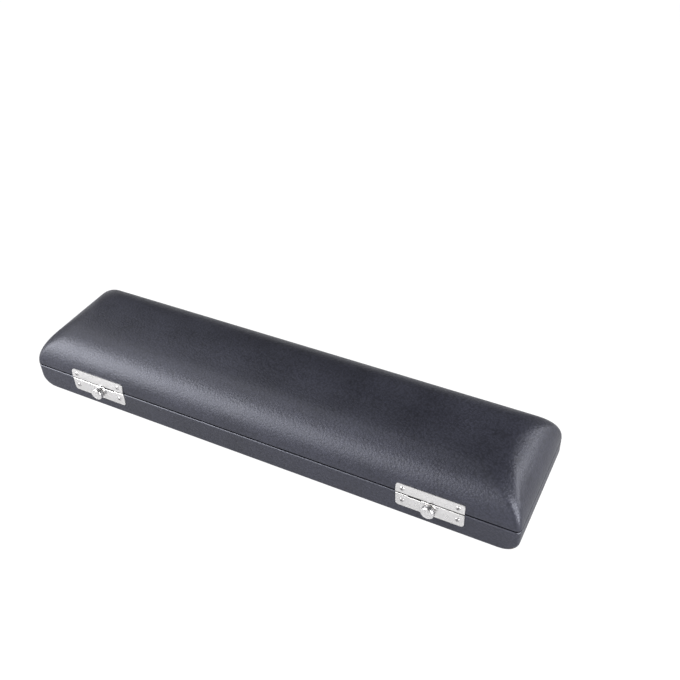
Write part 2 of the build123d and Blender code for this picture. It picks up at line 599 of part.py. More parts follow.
# ---------------------------------------------------------------- latches, lid side
plate_outer = lid_form(-GLUE - PLATE_T, LID_FOOT)
plate_inner = lid_form(-GLUE, LID_FOOT)
with BuildPart() as latch_lid_plate_right:
    add(plate_outer)
    add(plate_inner, mode=Mode.SUBTRACT)
    with BuildSketch(Plane((LATCH_X, FACE - 2, 0), x_dir=(1, 0, 0), z_dir=(0, -1, 0))) as upper_outline:
        with Locations((0, (UPPER_Z0 + UPPER_Z1) / 2)):
            Rectangle(PLATE_W, UPPER_Z1 - UPPER_Z0)
        fillet(upper_outline.vertices().group_by(Axis.Y)[-1], 2.0)
        fillet(upper_outline.vertices().group_by(Axis.Y)[0], 0.6)
    extrude(amount=-8, mode=Mode.INTERSECT)
    with Locations(*catch_screw_places[1]):
        add(thin_hole, mode=Mode.SUBTRACT)
save(latch_lid_plate_right, "latch_lid_plate_right")
save_left(latch_lid_plate_right, "latch_lid_plate_left")

# catch: foot behind the upper plate, strip down into the base, toe under the slider's nose
CATCH_Y0, CATCH_Y1 = FACE + 2 * LATCH_GAP, FACE + 2 * LATCH_GAP + SLIDER_T
TOE_TOP = KNOB_Z + NOSE_RISE - NOSE_H - LATCH_GAP
STRIP_X0 = CATCH_X - 2.8
FOOT_HALF = CATCH_W / 2 - 0.8
with BuildPart() as latch_catch_right:
    add(block(CATCH_X - FOOT_HALF, CATCH_X + FOOT_HALF, FACE - 1, CATCH_Y1, LID_FOOT + 0.6, CATCH_TOP))
    add(lid_form(0, LID_FOOT), mode=Mode.INTERSECT)
    add(block(STRIP_X0, STRIP_END, CATCH_Y0, CATCH_Y1, KNOB_Z, LID_FOOT + 1.0))
    add(block(STRIP_X0, TOE_END, CATCH_Y0, CATCH_Y1, KNOB_Z, TOE_TOP))
save(latch_catch_right, "latch_catch_right")
save_left(latch_catch_right, "latch_catch_left")

with BuildPart() as latch_lid_screws:
    with Locations(*catch_screw_places[-1], *catch_screw_places[1]):
        add(screw)
save(latch_lid_screws, "latch_lid_screws")

# ---------------------------------------------------------------- hinges
leaf_outer = lid_form(-GLUE - LEAF_T, LID_FOOT - 5)
leaf_inner = lid_form(-GLUE, LID_FOOT - 5)
SWEEP_R = KNUCKLE_R + KNUCKLE_GAP


def knuckle_span(i):
    """Start of knuckle i, measured along the hinge from its left end."""
    return i * (KNUCKLE_L + KNUCKLE_GAP)


def hinge_axis_plane(x):
    """Plane across the hinge's axis at x, facing +X."""
    return Plane((x, HINGE_Y, HINGE_Z), x_dir=(0, 1, 0), z_dir=(1, 0, 0))


for s, side in ((-1, "left"), (1, "right")):
    left_end = s * HINGE_X - HINGE_W / 2

    # leaf on the base, with the outer knuckles; cut back where the lid's knuckle turns
    with BuildPart() as hinge_base_leaf:
        add(block(left_end, left_end + HINGE_W, HALF_W, HALF_W + LEAF_T, HINGE_Z - LEAF_DROP, HINGE_Z))
        fillet(hinge_base_leaf.edges().filter_by(Axis.Y).group_by(Axis.Z)[0], 2.0)
        x0 = left_end + knuckle_span(1) - KNUCKLE_GAP
        add(block(x0, x0 + KNUCKLE_L + 2 * KNUCKLE_GAP, HALF_W - 1, HALF_W + 2,
                  HINGE_Z - SWEEP_R, HINGE_Z + 1), mode=Mode.SUBTRACT)
        for i in (0, 2):
            with BuildSketch(hinge_axis_plane(left_end + knuckle_span(i))):
                Circle(KNUCKLE_R)
            extrude(amount=KNUCKLE_L)
        with BuildSketch(hinge_axis_plane(left_end - 1)):
            Circle(PIN_R + PIN_FIT)
        extrude(amount=HINGE_W + 2, mode=Mode.SUBTRACT)
        with Locations(*base_leaf_places[s]):
            add(thin_hole, mode=Mode.SUBTRACT)
    save(hinge_base_leaf, f"hinge_base_leaf_{side}")

    # leaf on the lid, bent to the lid's round, with the middle knuckle and its stop nib
    with BuildPart() as hinge_lid_leaf:
        add(leaf_outer)
        add(leaf_inner, mode=Mode.SUBTRACT)
        with BuildSketch(Plane((s * HINGE_X, HALF_W + 3, 0), x_dir=(-1, 0, 0), z_dir=(0, 1, 0))) as outline:
            with Locations((0, HINGE_Z + LEAF_DROP / 2)):
                Rectangle(HINGE_W, LEAF_DROP)
            fillet(outline.vertices().group_by(Axis.Y)[-1], 2.0)
        extrude(amount=-14, mode=Mode.INTERSECT)
        for i in (0, 2):
            x0 = left_end + knuckle_span(i) - KNUCKLE_GAP
            add(block(x0, x0 + KNUCKLE_L + 2 * KNUCKLE_GAP, HALF_W - 1, HALF_W + 3,
                      HINGE_Z - 1, HINGE_Z + SWEEP_R), mode=Mode.SUBTRACT)
        with BuildSketch(hinge_axis_plane(left_end + knuckle_span(1))):
            Circle(KNUCKLE_R)
            with Locations((NIB_R / 2, 0)):
                Rectangle(NIB_R, 1.2)
        extrude(amount=KNUCKLE_L)
        with BuildSketch(hinge_axis_plane(left_end - 1)):
            Circle(PIN_R + PIN_FIT)
        extrude(amount=HINGE_W + 2, mode=Mode.SUBTRACT)
        with Locations(*lid_leaf_places[s]):
            add(thin_hole, mode=Mode.SUBTRACT)
    save(hinge_lid_leaf, f"hinge_lid_leaf_{side}")

    with BuildPart() as hinge_pin:
        with BuildSketch(hinge_axis_plane(left_end - 0.4)):
            Circle(PIN_R)
        extrude(amount=HINGE_W + 0.8)
    save(hinge_pin, f"hinge_pin_{side}")

with BuildPart() as hinge_base_screws:
    with Locations(*base_leaf_places[-1], *base_leaf_places[1]):
        add(screw)
save(hinge_base_screws, "hinge_base_screws")

with BuildPart() as hinge_lid_screws:
    with Locations(*lid_leaf_places[-1], *lid_leaf_places[1]):
        add(screw)
save(hinge_lid_screws, "hinge_lid_screws")
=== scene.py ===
"""Looks of the flute case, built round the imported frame.

Metres, in the frame's own axes: X along the case, front towards -Y, Z up, the table at z = 0. The lid, the
base and the two latches are the frame's bodies. The leathercloth, the plush, the screws and the knobs are
modelled here and replace their plain solids; plates, hinges and the works of the latches keep their solids.
"""
import math

import bmesh
import bpy
from mathutils import Matrix, Vector, noise

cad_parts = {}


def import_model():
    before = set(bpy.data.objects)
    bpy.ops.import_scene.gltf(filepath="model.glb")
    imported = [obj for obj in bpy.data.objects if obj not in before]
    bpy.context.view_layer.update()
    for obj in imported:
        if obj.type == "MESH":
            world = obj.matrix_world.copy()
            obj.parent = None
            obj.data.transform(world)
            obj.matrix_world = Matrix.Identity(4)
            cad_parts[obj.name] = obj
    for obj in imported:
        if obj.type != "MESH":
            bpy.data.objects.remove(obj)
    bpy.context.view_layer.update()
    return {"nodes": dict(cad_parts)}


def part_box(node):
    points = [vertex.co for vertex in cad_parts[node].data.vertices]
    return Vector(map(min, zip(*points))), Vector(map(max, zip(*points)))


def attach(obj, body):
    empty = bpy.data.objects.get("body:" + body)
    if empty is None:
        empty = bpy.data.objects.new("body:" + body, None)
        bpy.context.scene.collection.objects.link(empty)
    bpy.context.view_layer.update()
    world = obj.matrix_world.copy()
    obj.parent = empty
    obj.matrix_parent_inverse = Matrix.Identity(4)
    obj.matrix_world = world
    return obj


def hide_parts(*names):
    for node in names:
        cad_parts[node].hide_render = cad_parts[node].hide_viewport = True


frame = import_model()
nodes = frame["nodes"]
MM = 0.001
SIDES = ("left", "right")

# ---------------------------------------------------------------- sizes, from the frame
base_low, base_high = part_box("base_cover")
lid_low, lid_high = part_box("lid_cover")
HALF_L, HALF_W = base_high.x, base_high.y
BASE_FOOT, BASE_TOP = base_low.z, base_high.z
LID_FOOT, HEIGHT = lid_low.z, lid_high.z
FACE = -HALF_W
CLOTH_T = 0.9 * MM           # leathercloth
RIM_R = 0.9 * MM             # rounding of the cloth at the edges of base and lid
BASE_WALL = 5.5 * MM         # wall of the base with its cloth
BASE_RECESS = 0.8 * MM       # how far the top of that wall lies below its outer edge
LID_WALL = 4.6 * MM
CLOTH_TURN = 14 * MM         # cloth turned in underneath
CORNER_R = 3.6 * MM          # plan radius of the corners at the rim
INNER_R = 0.8 * MM           # and the smallest one inside the cloth
TURN_R = 2 * MM              # and that of the cloth turned in underneath
RIDGE_GROW = 13 * MM         # how much softer the lid's ridges get towards the top
TOE_R = 1.8 * MM             # rounding along the base's bottom edge, on the long sides
END_TOE_R = 10 * MM          # and on the two ends
CROWN_R = 300 * MM
RISE = HEIGHT - LID_FOOT
END_R = RISE + 0.15 * MM     # radius of the round at the two ends
CATCH_GAP = 0.8 * MM         # room in the cloth at each side of a catch
CATCH_DEEP = 2.6 * MM        # depth of that room
CATCH_HIGH = 6.4 * MM        # its height in the lid
CATCH_LOW = 15 * MM          # where it starts in the base
PLATE_T = 0.9 * MM           # latch plates
SCREW_HEAD_R = 1.7 * MM
SCREW_HEAD_H = 0.62 * MM
SHANK_R = 0.8 * MM
SHANK_LEN = 4.6 * MM         # from the head's seat to the tip
SIDE_R = (HALF_W ** 2 + (CROWN_R - RISE) ** 2 - CROWN_R ** 2) / (2 * (HALF_W - CROWN_R))


# ---------------------------------------------------------------- material helpers
def new_material(name):
    """A node material, its node tree and its Principled shader."""
    mat = bpy.data.materials.new(name)
    mat.use_nodes = True
    tree = mat.node_tree
    shader = next(n for n in tree.nodes if n.type == "BSDF_PRINCIPLED")
    return mat, tree, shader


def add_node(tree, kind, **values):
    """Adds a node; values set its properties or, where the name is a socket's, that socket."""
    node = tree.nodes.new(kind)
    for key, value in values.items():
        if hasattr(node, key):
            setattr(node, key, value)
        else:
            node.inputs[key.replace("_", " ")].default_value = value
    return node


def ramp(tree, source, stops):
    """Colour ramp from (position, grey or colour) pairs, fed by a socket."""
    node = tree.nodes.new("ShaderNodeValToRGB")
    band = node.color_ramp
    while len(band.elements) < len(stops):
        band.elements.new(0.5)
    for element, (place, value) in zip(band.elements, stops):
        element.position = place
        colour = value if isinstance(value, tuple) else (value, value, value)
        element.color = (*colour, 1)
    tree.links.new(source, node.inputs["Fac"])
    return node


def mapped(tree, scale=(1, 1, 1)):
    """Object coordinates in metres, times scale."""
    place = add_node(tree, "ShaderNodeTexCoord")
    mapping = add_node(tree, "ShaderNodeMapping")
    mapping.inputs["Scale"].default_value = scale
    tree.links.new(place.outputs["Object"], mapping.inputs["Vector"])
    return mapping.outputs["Vector"]


def multiplied(tree, first, second):
    """Product of two colour sockets."""
    node = add_node(tree, "ShaderNodeMix", data_type="RGBA", blend_type="MULTIPLY")
    node.inputs[0].default_value = 1.0
    tree.links.new(first, node.inputs[6])
    tree.links.new(second, node.inputs[7])
    return node.outputs[2]


def level(tree, stops):
    """Ramp over the height in the frame, from (height, value) pairs."""
    low = stops[0][0]
    span = stops[-1][0] - low
    parts = add_node(tree, "ShaderNodeSeparateXYZ")
    tree.links.new(mapped(tree), parts.inputs[0])
    share = add_node(tree, "ShaderNodeMath", operation="MULTIPLY_ADD")
    share.inputs[1].default_value = 1 / span
    share.inputs[2].default_value = -low / span
    tree.links.new(parts.outputs["Z"], share.inputs[0])
    return ramp(tree, share.outputs[0], [((z - low) / span, value) for z, value in stops])


def leather(name, colour, roughness, specular, grain, seam=False):
    """Leathercloth: rounded pebbles with creases between them, painted shade darkening the creases, a finer
    pore, slow variation of tone.
    """
    mat, tree, shader = new_material(name)
    shader.inputs["Specular Tint"].default_value = (0.86, 0.88, 1.0, 1)
    link = tree.links.new
    place = mapped(tree)
    bend = add_node(tree, "ShaderNodeTexNoise", Scale=380.0, Detail=2.0)
    link(place, bend.inputs["Vector"])
    warp = add_node(tree, "ShaderNodeVectorMath", operation="MULTIPLY_ADD")
    warp.inputs[1].default_value = (1.2 * MM, 1.2 * MM, 1.2 * MM)
    link(bend.outputs["Color"], warp.inputs[0])
    link(place, warp.inputs[2])
    cells = add_node(tree, "ShaderNodeTexVoronoi", feature="SMOOTH_F1", Scale=grain, Smoothness=0.35)
    link(warp.outputs[0], cells.inputs["Vector"])
    pores = add_node(tree, "ShaderNodeTexNoise", Scale=grain * 3.2, Detail=3.0)
    link(place, pores.inputs["Vector"])
    slow = add_node(tree, "ShaderNodeTexNoise", Scale=24.0, Detail=3.0)
    link(place, slow.inputs["Vector"])
    height = add_node(tree, "ShaderNodeMath", operation="MULTIPLY_ADD")
    height.inputs[1].default_value = -0.22
    link(pores.outputs["Fac"], height.inputs[0])
    link(cells.outputs["Distance"], height.inputs[2])
    bump = add_node(tree, "ShaderNodeBump", Strength=0.4, Distance=0.3 * MM, invert=True)
    link(height.outputs[0], bump.inputs["Height"])
    link(bump.outputs["Normal"], shader.inputs["Normal"])
    dark = tuple(0.78 * c for c in colour)
    light = tuple(min(1.25 * c, 1) for c in colour)
    tone = ramp(tree, slow.outputs["Fac"], ((0.3, dark), (0.7, light)))
    # painted shade: the colour darkens in the creases between the pebbles
    crease_shade = ramp(tree, cells.outputs["Distance"], ((0.25, 1.0), (0.75, 0.55)))
    shade = multiplied(tree, tone.outputs["Color"], crease_shade.outputs["Color"])
    rough = ramp(tree, slow.outputs["Fac"], ((0.3, roughness - 0.04), (0.7, roughness + 0.05)))
    link(rough.outputs["Color"], shader.inputs["Roughness"])
    shader.inputs["Specular IOR Level"].default_value = specular
    if seam:
        # glossier rubbed bead along the base's edge; painted shade in the groove at the foot of the lid,
        # where the reflection is turned off and the colour darkened almost to black
        worn = level(tree, ((BASE_TOP - 0.9 * MM, specular), (BASE_TOP - 0.6 * MM, 0.85), (BASE_TOP, 0.85),
                            (LID_FOOT + 0.05 * MM, specular), (LID_FOOT + 0.12 * MM, 0.0),
                            (LID_FOOT + 1.15 * MM, 0.0), (LID_FOOT + 1.45 * MM, specular)))
        link(worn.outputs["Color"], shader.inputs["Specular IOR Level"])
        # painted shade: the colour darkened almost to black in the groove at the foot of the lid
        groove_shade = level(tree, ((LID_FOOT + 0.05 * MM, 1.0), (LID_FOOT + 0.12 * MM, 0.05),
                             (LID_FOOT + 1.15 * MM, 0.05), (LID_FOOT + 1.45 * MM, 1.0)))
        shade = multiplied(tree, shade, groove_shade.outputs["Color"])
    link(shade, shader.inputs["Base Color"])
    return mat


def brushed(name, colour, roughness, stretch, depth, edge_z=None):
    """Nickel plate, brushed in the direction in which stretch is smallest; painted shade in a band just above
    edge_z.
    """
    mat, tree, shader = new_material(name)
    link = tree.links.new
    streaks = add_node(tree, "ShaderNodeTexNoise", Scale=1.0, Detail=4.0, Roughness=0.65)
    link(mapped(tree, stretch), streaks.inputs["Vector"])
    clouds = add_node(tree, "ShaderNodeTexNoise", Scale=160.0, Detail=2.0)
    link(mapped(tree), clouds.inputs["Vector"])
    bump = add_node(tree, "ShaderNodeBump", Strength=0.25, Distance=depth)
    link(streaks.outputs["Fac"], bump.inputs["Height"])
    link(bump.outputs["Normal"], shader.inputs["Normal"])
    worn = tuple(0.86 * c for c in colour)
    tone = ramp(tree, streaks.outputs["Fac"], ((0.3, worn), (0.62, colour)))
    shade = tone.outputs["Color"]
    rough = ramp(tree, clouds.outputs["Fac"], ((0.3, roughness - 0.05), (0.7, roughness + 0.06)))
    link(rough.outputs["Color"], shader.inputs["Roughness"])
    shader.inputs["Metallic"].default_value = 1.0
    if edge_z is not None:
        # painted shade: a dark band along the lower edge of the plate on the lid, where the gap between the
        # plates lies in shade
        edge = level(tree, ((edge_z - 0.1 * MM, 1.0), (edge_z, 0.12),
                            (edge_z + 0.5 * MM, 0.12), (edge_z + 0.75 * MM, 1.0)))
        shade = multiplied(tree, shade, edge.outputs["Color"])
    link(shade, shader.inputs["Base Color"])
    return mat


def plush(name, colour):
    """Short dense plush: fuzzy bump, brushed patches, a soft sheen."""
    mat, tree, shader = new_material(name)
    link = tree.links.new
    place = mapped(tree)
    fuzz = add_node(tree, "ShaderNodeTexNoise", Scale=2600.0, Detail=4.0, Roughness=0.7)
    link(place, fuzz.inputs["Vector"])
    stroked = add_node(tree, "ShaderNodeTexNoise", Scale=46.0, Detail=3.0, Distortion=0.8)
    link(place, stroked.inputs["Vector"])
    bump = add_node(tree, "ShaderNodeBump", Strength=0.6, Distance=0.4 * MM)
    link(fuzz.outputs["Fac"], bump.inputs["Height"])
    link(bump.outputs["Normal"], shader.inputs["Normal"])
    dark = tuple(0.6 * c for c in colour)
    light = tuple(1.5 * c for c in colour)
    patches = ramp(tree, stroked.outputs["Fac"], ((0.38, dark), (0.62, light)))
    grains = ramp(tree, fuzz.outputs["Fac"], ((0.35, 0.6), (0.65, 1.0)))
    link(multiplied(tree, patches.outputs["Color"], grains.outputs["Color"]), shader.inputs["Base Color"])
    shader.inputs["Roughness"].default_value = 0.95
    shader.inputs["Specular IOR Level"].default_value = 0.15
    shader.inputs["Sheen Weight"].default_value = 0.35
    shader.inputs["Sheen Roughness"].default_value = 0.4
    shader.inputs["Sheen Tint"].default_value = (0.45, 0.52, 0.8, 1)
    return mat


def wood(name, colour):
    """Thin poplar board: grain along X, fine pores."""
    mat, tree, shader = new_material(name)
    link = tree.links.new
    rings = add_node(tree, "ShaderNodeTexNoise", Scale=1.0, Detail=5.0, Distortion=0.6)
    link(mapped(tree, (9, 190, 190)), rings.inputs["Vector"])
    dark = tuple(0.62 * c for c in colour)
    tone = ramp(tree, rings.outputs["Fac"], ((0.35, dark), (0.6, colour)))
    link(tone.outputs["Color"], shader.inputs["Base Color"])
    bump = add_node(tree, "ShaderNodeBump", Strength=0.3, Distance=0.2 * MM)
    link(rings.outputs["Fac"], bump.inputs["Height"])
    link(bump.outputs["Normal"], shader.inputs["Normal"])
    shader.inputs["Roughness"].default_value = 0.7
    return mat


ALONG_X = (25, 2600, 2600)   # brushing along the plates
ALONG_Z = (60, 60, 2200)
ALL_WAYS = (1800, 1800, 1800)
CLOTH = leather("leathercloth", (0.016, 0.0165, 0.024), 0.42, 0.5, 620.0, seam=True)
UNDERSIDE = leather("underside_cloth", (0.020, 0.020, 0.022), 0.7, 0.3, 1500.0)
PLATE = brushed("nickel_plate", (0.80, 0.79, 0.78), 0.30, ALONG_X, 0.03 * MM)
LATCH_PLATE = brushed("nickel_latch_plate", (0.76, 0.75, 0.74), 0.30, ALONG_X, 0.03 * MM,
                      edge_z=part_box("latch_lid_plate_left")[0].z)
TURNED = brushed("nickel_turned", (0.74, 0.73, 0.73), 0.26, ALL_WAYS, 0.01 * MM)
SCREW = brushed("nickel_screw", (0.50, 0.49, 0.49), 0.34, ALL_WAYS, 0.01 * MM)
# painted shade for the side of the knobs
SHADED_SKIRT = brushed("knob_side_painted_shade", (0.30, 0.30, 0.31), 0.36, ALL_WAYS, 0.01 * MM)
# painted shade for the cross recesses of the screws
RECESS = brushed("screw_recess_painted_shade", (0.03, 0.03, 0.03), 0.6, ALL_WAYS, 0.01 * MM)
STEEL = brushed("spring_steel", (0.50, 0.50, 0.51), 0.35, ALONG_Z, 0.03 * MM)
PLUSH = plush("plush", (0.026, 0.032, 0.058))
WOOD = wood("poplar", (0.56, 0.42, 0.28))


# ---------------------------------------------------------------- mesh helpers
def make_object(name, points, faces, mat, smooth=True):
    """Mesh object from points and faces, with its normals made to agree."""
    mesh = bpy.data.meshes.new(name)
    mesh.from_pydata(points, [], faces)
    mesh.validate()
    piece = bpy.data.objects.new(name, mesh)
    bpy.context.scene.collection.objects.link(piece)
    bm = bmesh.new()
    bm.from_mesh(mesh)
    bmesh.ops.recalc_face_normals(bm, faces=bm.faces)
    bm.to_mesh(mesh)
    bm.free()
    for polygon in mesh.polygons:
        polygon.use_smooth = smooth
    mesh.materials.append(mat)
    return piece


def apply_modifiers(piece):
    """Turns a piece's modifiers into mesh."""
    bpy.context.view_layer.update()
    graph = bpy.context.evaluated_depsgraph_get()
    mesh = bpy.data.meshes.new_from_object(piece.evaluated_get(graph), depsgraph=graph)
    piece.modifiers.clear()
    piece.data = mesh


LONG_STEPS, SHORT_STEPS, CORNER_STEPS = 96, 24, 12      # points of a contour, along each part


def contour(half_l, half_w, radius, z, reach=None):
    """Closed rounded rectangle at height z, always with the same number of points.

    The corners are round, or elliptic where reach, their size along X, differs from radius.
    """
    radius = min(radius, half_w * 0.999)
    reach = min(reach or radius, half_l * 0.999)
    cx, cy = half_l - reach, half_w - radius
    points = []
    corners = ((cx, cy), (-cx, cy), (-cx, -cy), (cx, -cy))
    runs = ((-2 * cx, 0), (0, -2 * cy), (2 * cx, 0), (0, 2 * cy))
    for quarter, ((x, y), (run_x, run_y)) in enumerate(zip(corners, runs)):
        for k in range(CORNER_STEPS):
            turn = math.pi / 2 * (quarter + k / CORNER_STEPS)
            points.append((x + reach * math.cos(turn), y + radius * math.sin(turn), z))
        turn = math.pi / 2 * (quarter + 1)
        start_x, start_y = x + reach * math.cos(turn), y + radius * math.sin(turn)
        steps = LONG_STEPS if quarter in (0, 2) else SHORT_STEPS
        for k in range(steps):
            points.append((start_x + run_x * k / steps, start_y + run_y * k / steps, z))
    return points


def ring_mesh(name, rings, mat, closed):
    """Skin over a list of contours; open stacks get both ends filled."""
    count = len(rings[0])
    points = [p for ring in rings for p in ring]
    faces = []
    pairs = len(rings) if closed else len(rings) - 1
    for j in range(pairs):
        a, b = j * count, ((j + 1) % len(rings)) * count
        for i in range(count):
            k = (i + 1) % count
            faces.append((a + i, a + k, b + k, b + i))
    if not closed:
        faces.append(tuple(range(count)))
        faces.append(tuple(range((len(rings) - 1) * count, len(rings) * count)))
    return make_object(name, points, faces, mat)


def cut_boxes(piece, boxes):
    """Cuts boxes, given as pairs of corners, out of a closed piece."""
    points, faces = [], []
    for low, high in boxes:
        start = len(points)
        for x in (low[0], high[0]):
            for y in (low[1], high[1]):
                for z in (low[2], high[2]):
                    points.append((x, y, z))
        quads = ((0, 1, 3, 2), (4, 6, 7, 5), (0, 4, 5, 1), (2, 3, 7, 6), (0, 2, 6, 4), (1, 5, 7, 3))
        faces += [tuple(start + i for i in quad) for quad in quads]
    cutter = make_object(piece.name + "_cutter", points, faces, piece.data.materials[0], False)
    cut = piece.modifiers.new("cut", "BOOLEAN")
    cut.operation = "DIFFERENCE"
    cut.solver = "EXACT"
    cut.object = cutter
    apply_modifiers(piece)
    bpy.data.objects.remove(cutter)


def arc_points(cx, cz, radius, start, stop, steps):
    """(x, z) points of an arc, angles in degrees."""
    turns = [math.radians(start + (stop - start) * k / steps) for k in range(steps + 1)]
    return [(cx + radius * math.cos(t), cz + radius * math.sin(t)) for t in turns]


# ---------------------------------------------------------------- leathercloth
def catch_span(side):
    """X range of one catch's opening."""
    low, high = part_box(f"latch_catch_{side}")
    return low.x - CATCH_GAP, high.x + CATCH_GAP


def toe_rings(inset, steps):
    """Contours of the base, offset inwards, from its bottom up to where the toes of the ends stop."""
    end, side = END_TOE_R - inset, TOE_R - inset
    low = BASE_FOOT + inset
    rings = []
    for k in range(steps + 1):
        turn = math.pi / 2 * (1 - k / steps)
        rise = end * (1 - math.sin(turn))
        drop = max(side - rise, 0)
        half_l = HALF_L - inset - end * (1 - math.cos(turn))
        half_w = HALF_W - inset - side + math.sqrt(side ** 2 - drop ** 2)
        radius = max(CORNER_R - inset - 0.4 * drop, INNER_R)
        reach = min(radius / max(math.cos(turn), 0.3), end)
        rings.append(contour(half_l, half_w, radius, low + rise, reach))
    return rings


def base_skin():
    """Cloth of the base: under the edge, round the toes, up the wall and over the rim."""
    rings = [contour(HALF_L - inset, HALF_W - inset, TURN_R, BASE_FOOT)
             for inset in (CLOTH_TURN, CLOTH_TURN - 2 * MM)]
    rings += toe_rings(0, 18)
    start, stop = BASE_FOOT + END_TOE_R, BASE_TOP - RIM_R
    outer = [(0, start + k * (stop - start) / 5) for k in range(1, 5)]
    # a bead where the cloth turns over the edge, and a shallow recess behind it
    outer += [(RIM_R - x, z) for x, z in arc_points(0, stop, RIM_R, 0, 130, 10)]
    sunk = BASE_TOP - BASE_RECESS
    outer += [(2 * MM, sunk), (BASE_WALL, sunk), (BASE_WALL, sunk - CLOTH_T), (RIM_R, sunk - CLOTH_T),
              (CLOTH_T, sunk - 1.4 * RIM_R)]
    rings += [contour(HALF_L - inset, HALF_W - inset, max(CORNER_R - inset, INNER_R), z)
              for inset, z in outer]
    rings += toe_rings(CLOTH_T, 14)[::-1]
    rings.append(contour(HALF_L - CLOTH_TURN, HALF_W - CLOTH_TURN, TURN_R, BASE_FOOT + CLOTH_T))
    piece = ring_mesh("base_leathercloth", rings, CLOTH, True)
    slots = []
    for side in SIDES:
        x0, x1 = catch_span(side)
        slots.append(((x0, FACE - MM, CATCH_LOW), (x1, FACE + CATCH_DEEP, BASE_TOP + MM)))
    cut_boxes(piece, slots)
    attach(piece, "base")
    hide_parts("base_cover")


def lid_level(z, inset):
    """Half length and half width of the lid at height z."""
    rise = min(z - LID_FOOT, RISE - inset)
    side, end = SIDE_R - inset, END_R - inset
    arc_y = HALF_W - SIDE_R
    half_l = HALF_L - END_R + math.sqrt(max(end ** 2 - rise ** 2, 0))
    meet = math.atan2(arc_y, CROWN_R - RISE)
    meet_z = RISE - CROWN_R + (CROWN_R - inset) * math.cos(meet)
    if rise < meet_z:
        half_w = arc_y + math.sqrt(max(side ** 2 - rise ** 2, 0))
    else:
        crown = CROWN_R - inset
        half_w = math.sqrt(max(crown ** 2 - (rise - RISE + CROWN_R) ** 2, 0))
    return half_l, half_w


def ridge_radius(z, inset):
    """Plan radius of the lid's ridges at height z."""
    return CORNER_R - min(inset, 2 * MM) + RIDGE_GROW * ((z - LID_FOOT) / RISE) ** 2.4


def lid_rings(inset, foot, steps):
    """Contours of the lid's dome from its foot to the crown, the ridges softer towards the top."""
    rings = []
    top = RISE - inset
    for k in range(steps + 1):
        turn = math.pi / 2 * k / steps
        z = LID_FOOT + max(foot - LID_FOOT, top * math.sin(turn))
        if k == steps:
            z = LID_FOOT + top - 0.01 * MM
        half_l, half_w = lid_level(z, inset)
        rings.append(contour(half_l, half_w, ridge_radius(z, inset), z))
    return rings


def soften_top(piece, start=8 * MM):
    """Lets the ridges melt into the top of a dome, more and more from a height above its foot."""
    group = piece.vertex_groups.new(name="top")
    for vertex in piece.data.vertices:
        share = (vertex.co.z - LID_FOOT - start) / (RISE - start)
        if share > 0:
            group.add([vertex.index], min(1.2 * share ** 2.5, 1.0), "REPLACE")
    soft = piece.modifiers.new("soft", "SMOOTH")
    soft.factor = 0.5
    soft.iterations = 18
    soft.vertex_group = "top"
    apply_modifiers(piece)


def lid_layer(name, node, outside, inside, foot, mat):
    """One layer under the cloth of the lid, between two insets, open at its foot."""
    rings = lid_rings(outside, foot, 24)[::-1]
    rings += lid_rings(inside, foot, 24)
    piece = ring_mesh(name, rings, mat, False)
    soften_top(piece)
    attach(piece, "lid")
    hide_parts(node)


def lid_skin():
    """Cloth of the lid: the pillow, the turned rim and the strip that is turned in."""
    foot = LID_FOOT
    rings = lid_rings(0, foot + RIM_R, 44)[::-1]
    edge = [(RIM_R - x, z) for x, z in arc_points(0, foot + RIM_R, RIM_R, 0, -90, 5)[1:]]
    # the strip turned in follows the dome's inside up to the lining
    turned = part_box("lid_liner")[0].z + 0.3 * MM
    edge += [(LID_WALL + 0.08 * MM, foot + k * (turned - foot) / 6) for k in range(7)]
    edge += [(LID_WALL - 0.6 * MM, turned), (LID_WALL - 0.6 * MM, foot + CLOTH_T),
             (CLOTH_T + RIM_R, foot + CLOTH_T)]
    for inset, z in edge:
        if inset > LID_WALL:
            rings.append(contour(*lid_level(z, inset), ridge_radius(z, inset), z))
        else:
            rings.append(contour(HALF_L - inset, HALF_W - inset, max(CORNER_R - inset, INNER_R), z))
    rings += lid_rings(CLOTH_T, foot + CLOTH_T + RIM_R, 20)
    piece = ring_mesh("lid_leathercloth", rings, CLOTH, False)
    soften_top(piece)
    pockets = []
    for side in SIDES:
        x0, x1 = catch_span(side)
        pockets.append(((x0, FACE - 0.05 * MM, foot - MM), (x1, FACE + CATCH_DEEP, foot + CATCH_HIGH)))
    cut_boxes(piece, pockets)
    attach(piece, "lid")
    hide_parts("lid_cover")


base_skin()
lid_skin()
lid_layer("lid_board", "lid_shell", 1.0 * MM, LID_WALL, LID_FOOT + 1.0 * MM, WOOD)
lid_layer("lid_lining_plush", "lid_liner", LID_WALL + 0.1 * MM, LID_WALL + 0.9 * MM,
          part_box("lid_liner")[0].z, PLUSH)


# ---------------------------------------------------------------- metal
def lathe(name, profile, segments, mat):
    """Turned piece about +Z from (radius, z) points; both ends lie on the axis."""
    points = [(0, 0, profile[0][1])]
    for radius, z in profile[1:-1]:
        for k in range(segments):
            turn = 2 * math.pi * k / segments
            points.append((radius * math.cos(turn), radius * math.sin(turn), z))
    points.append((0, 0, profile[-1][1]))
    last = len(points) - 1
    faces = []
    rows = len(profile) - 2
    for k in range(segments):
        n = (k + 1) % segments
        faces.append((0, 1 + k, 1 + n))
        for row in range(rows - 1):
            a, b = 1 + row * segments, 1 + (row + 1) * segments
            faces.append((a + k, b + k, b + n, a + n))
        a = 1 + (rows - 1) * segments
        faces.append((last, a + n, a + k))
    return make_object(name, points, faces, mat)


